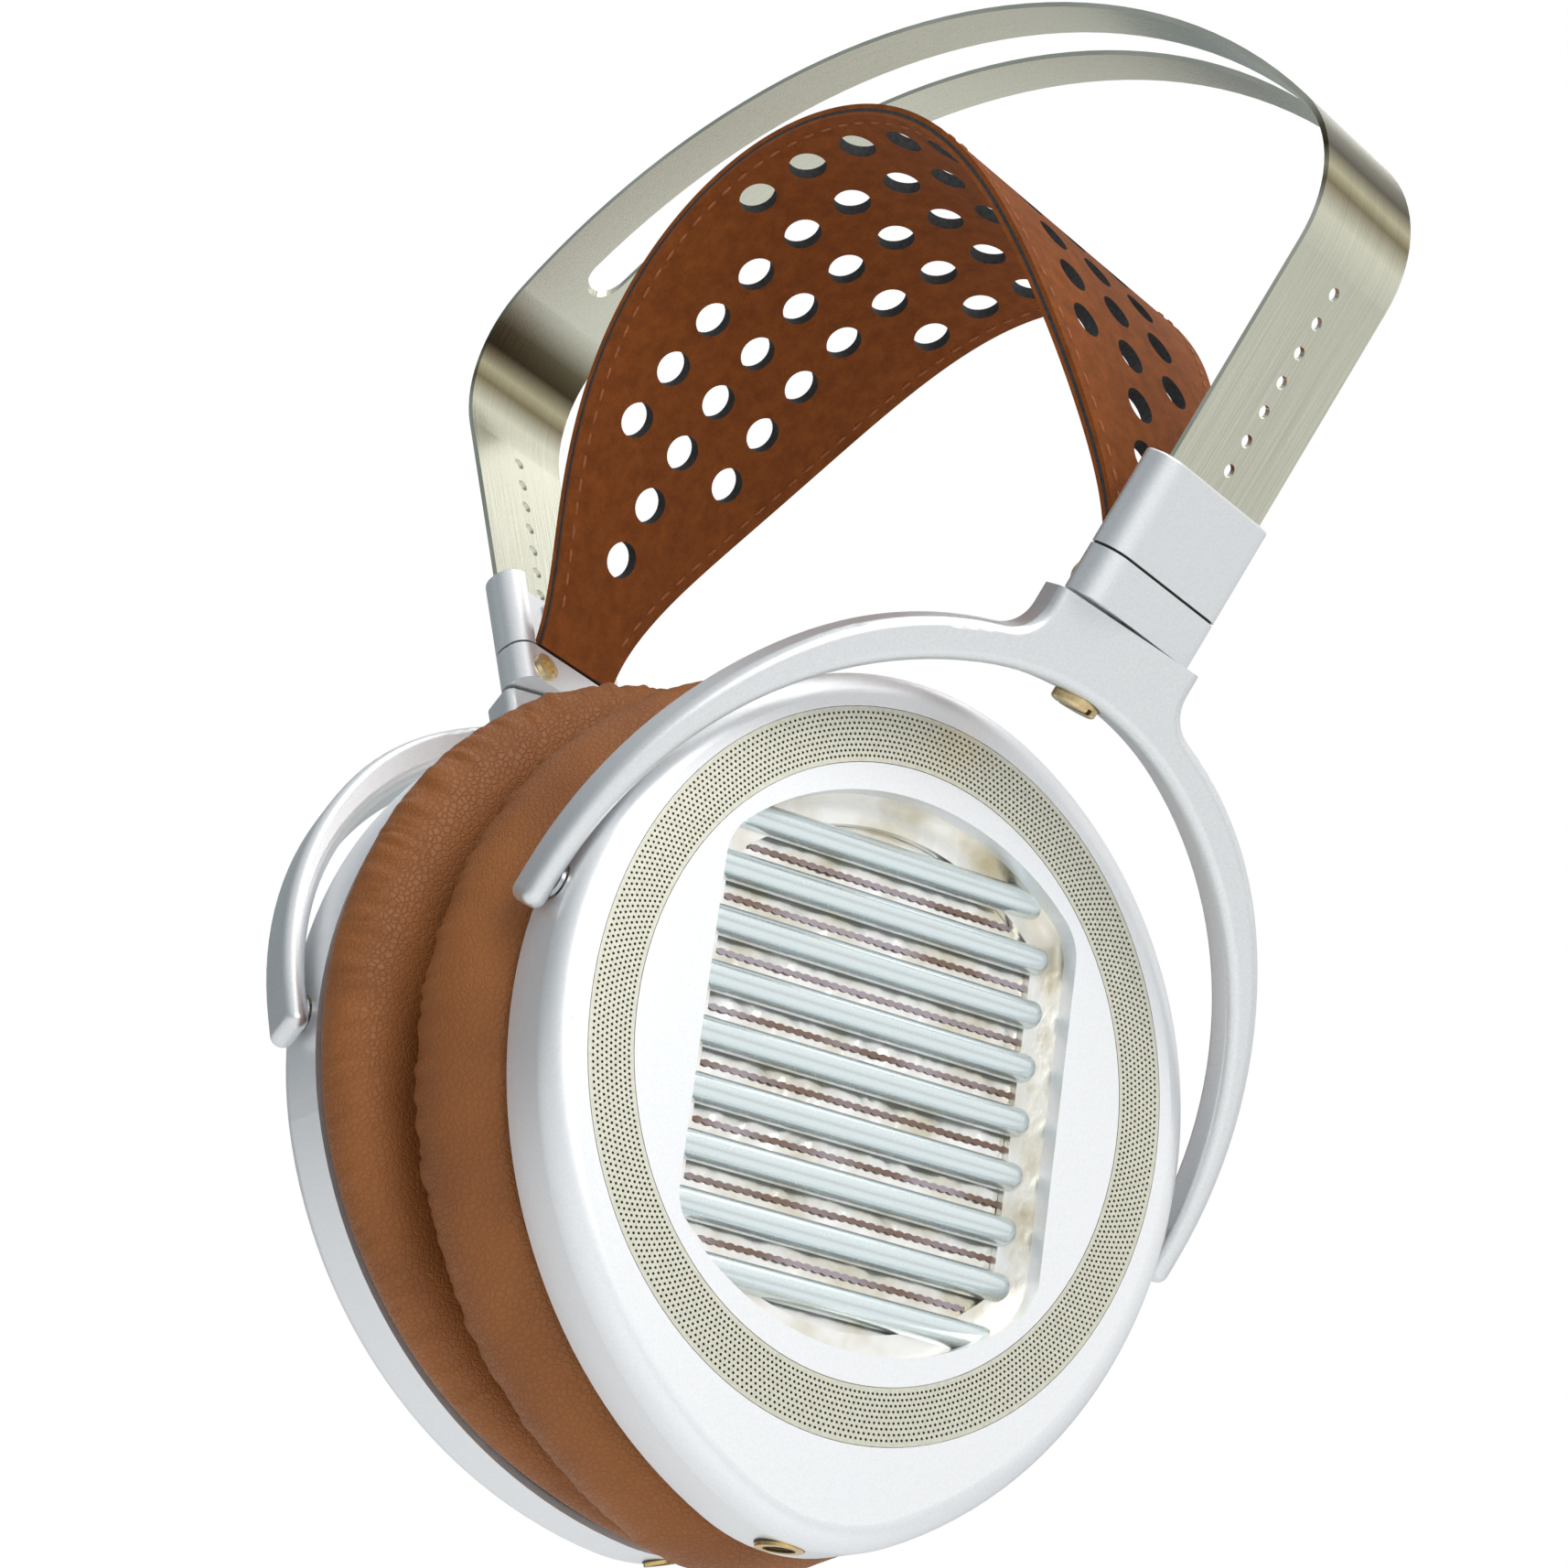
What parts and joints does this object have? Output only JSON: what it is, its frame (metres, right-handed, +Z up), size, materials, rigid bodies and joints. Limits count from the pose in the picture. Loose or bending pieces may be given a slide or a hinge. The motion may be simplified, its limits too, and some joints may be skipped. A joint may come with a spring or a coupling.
{
  "type": "over-ear headphones",
  "caption": "Open-back over-ear headphones: sprung steel band, hanging suede strap, sliding yokes, and tilting oval cups with slatted windows and leather pads.",
  "frame": {"origin": "midway between the two cups, level with their feet", "axes": "+Z up, +Y towards the wearer's face, +X towards the wearer's right ear; the band is symmetric about the YZ plane and both cups rest turned the same way"},
  "size_m": [0.1618, 0.1068, 0.2333],
  "materials": {
    "spring_steel": "brushed, satin",
    "strap_suede": "suede, two layers with stitched edges",
    "block_metal": "bead blasted, satin",
    "dark_seam": "black, matt",
    "brass": "satin",
    "steel": "plain",
    "cup_metal": "bead blasted, satin",
    "grille_metal": "perforated, champagne",
    "magnet_plate": "satin",
    "foil": "crinkled reflective film",
    "trace_metal": "printed track",
    "pad_leather": "fine grain",
    "piping": "dark brown welt",
    "plastic": "black",
    "gold": "polished"
  },
  "bodies": {
    "headband": {"headband_spring": "spring_steel", "head_strap": "strap_suede"},
    "slider_right": {"upper_block_right": "block_metal", "lower_block_right": "block_metal", "seam_shim_right": "dark_seam", "swivel_washer_right": "steel", "swivel_bolt_right": "brass", "clamp_screw_right": "brass", "detent_ball_right": "steel", "detent_leaf_right": "steel", "strap_tail_right": "strap_suede"},
    "yoke_right": {"yoke_right": "block_metal", "pivot_pins_right": "steel"},
    "cup_right": {"cup_housing_right": "cup_metal", "pivot_bushes_right": "brass", "grille_ring_right": "grille_metal", "driver_frame_right": "cup_metal", "magnet_bars_right": "magnet_plate", "diaphragm_right": "foil", "traces_right": "trace_metal", "rear_frame_right": "cup_metal", "rear_bars_right": "magnet_plate", "frame_screws_right": "steel", "pad_mount_right": "plastic", "pad_piping_right": "piping", "ear_pad_right": "pad_leather", "jack_socket_right": "plastic", "jack_collar_right": "gold"},
    "slider_left": {"upper_block_left": "block_metal", "lower_block_left": "block_metal", "seam_shim_left": "dark_seam", "swivel_washer_left": "steel", "swivel_bolt_left": "brass", "clamp_screw_left": "brass", "detent_ball_left": "steel", "detent_leaf_left": "steel", "strap_tail_left": "strap_suede"},
    "yoke_left": {"yoke_left": "block_metal", "pivot_pins_left": "steel"},
    "cup_left": {"cup_housing_left": "cup_metal", "pivot_bushes_left": "brass", "grille_ring_left": "grille_metal", "driver_frame_left": "cup_metal", "magnet_bars_left": "magnet_plate", "diaphragm_left": "foil", "traces_left": "trace_metal", "rear_frame_left": "cup_metal", "rear_bars_left": "magnet_plate", "frame_screws_left": "steel", "pad_mount_left": "plastic", "pad_piping_left": "piping", "ear_pad_left": "pad_leather", "jack_socket_left": "plastic", "jack_collar_left": "gold"}
  },
  "joints": [
    {"name": "slide_right", "type": "slide", "parent": "headband", "child": "slider_right", "axis": [0.4415, 0, 0.8973], "range_m": [0, 0.014]},
    {"name": "swivel_right", "type": "hinge", "parent": "slider_right", "child": "yoke_right", "pos_m": [0.04952, 0, 0.12536], "axis": [0.4415, 0, 0.8973], "range_deg": [-8, 19]},
    {"name": "tilt_right", "type": "hinge", "parent": "yoke_right", "child": "cup_right", "pos_m": [0.02201, -0.00046, 0.06646], "axis": [0.2936, 0.9449, -0.1445], "range_deg": [-12, 12]},
    {"name": "slide_left", "type": "slide", "parent": "headband", "child": "slider_left", "axis": [-0.4415, 0, 0.8973], "range_m": [0, 0.014]},
    {"name": "swivel_left", "type": "hinge", "parent": "slider_left", "child": "yoke_left", "pos_m": [-0.04952, 0, 0.12536], "axis": [-0.4415, 0, 0.8973], "range_deg": [-8, 19]},
    {"name": "tilt_left", "type": "hinge", "parent": "yoke_left", "child": "cup_left", "pos_m": [-0.02201, 0.00046, 0.06646], "axis": [0.2936, 0.9449, 0.1445], "range_deg": [-12, 12]}
  ]
}
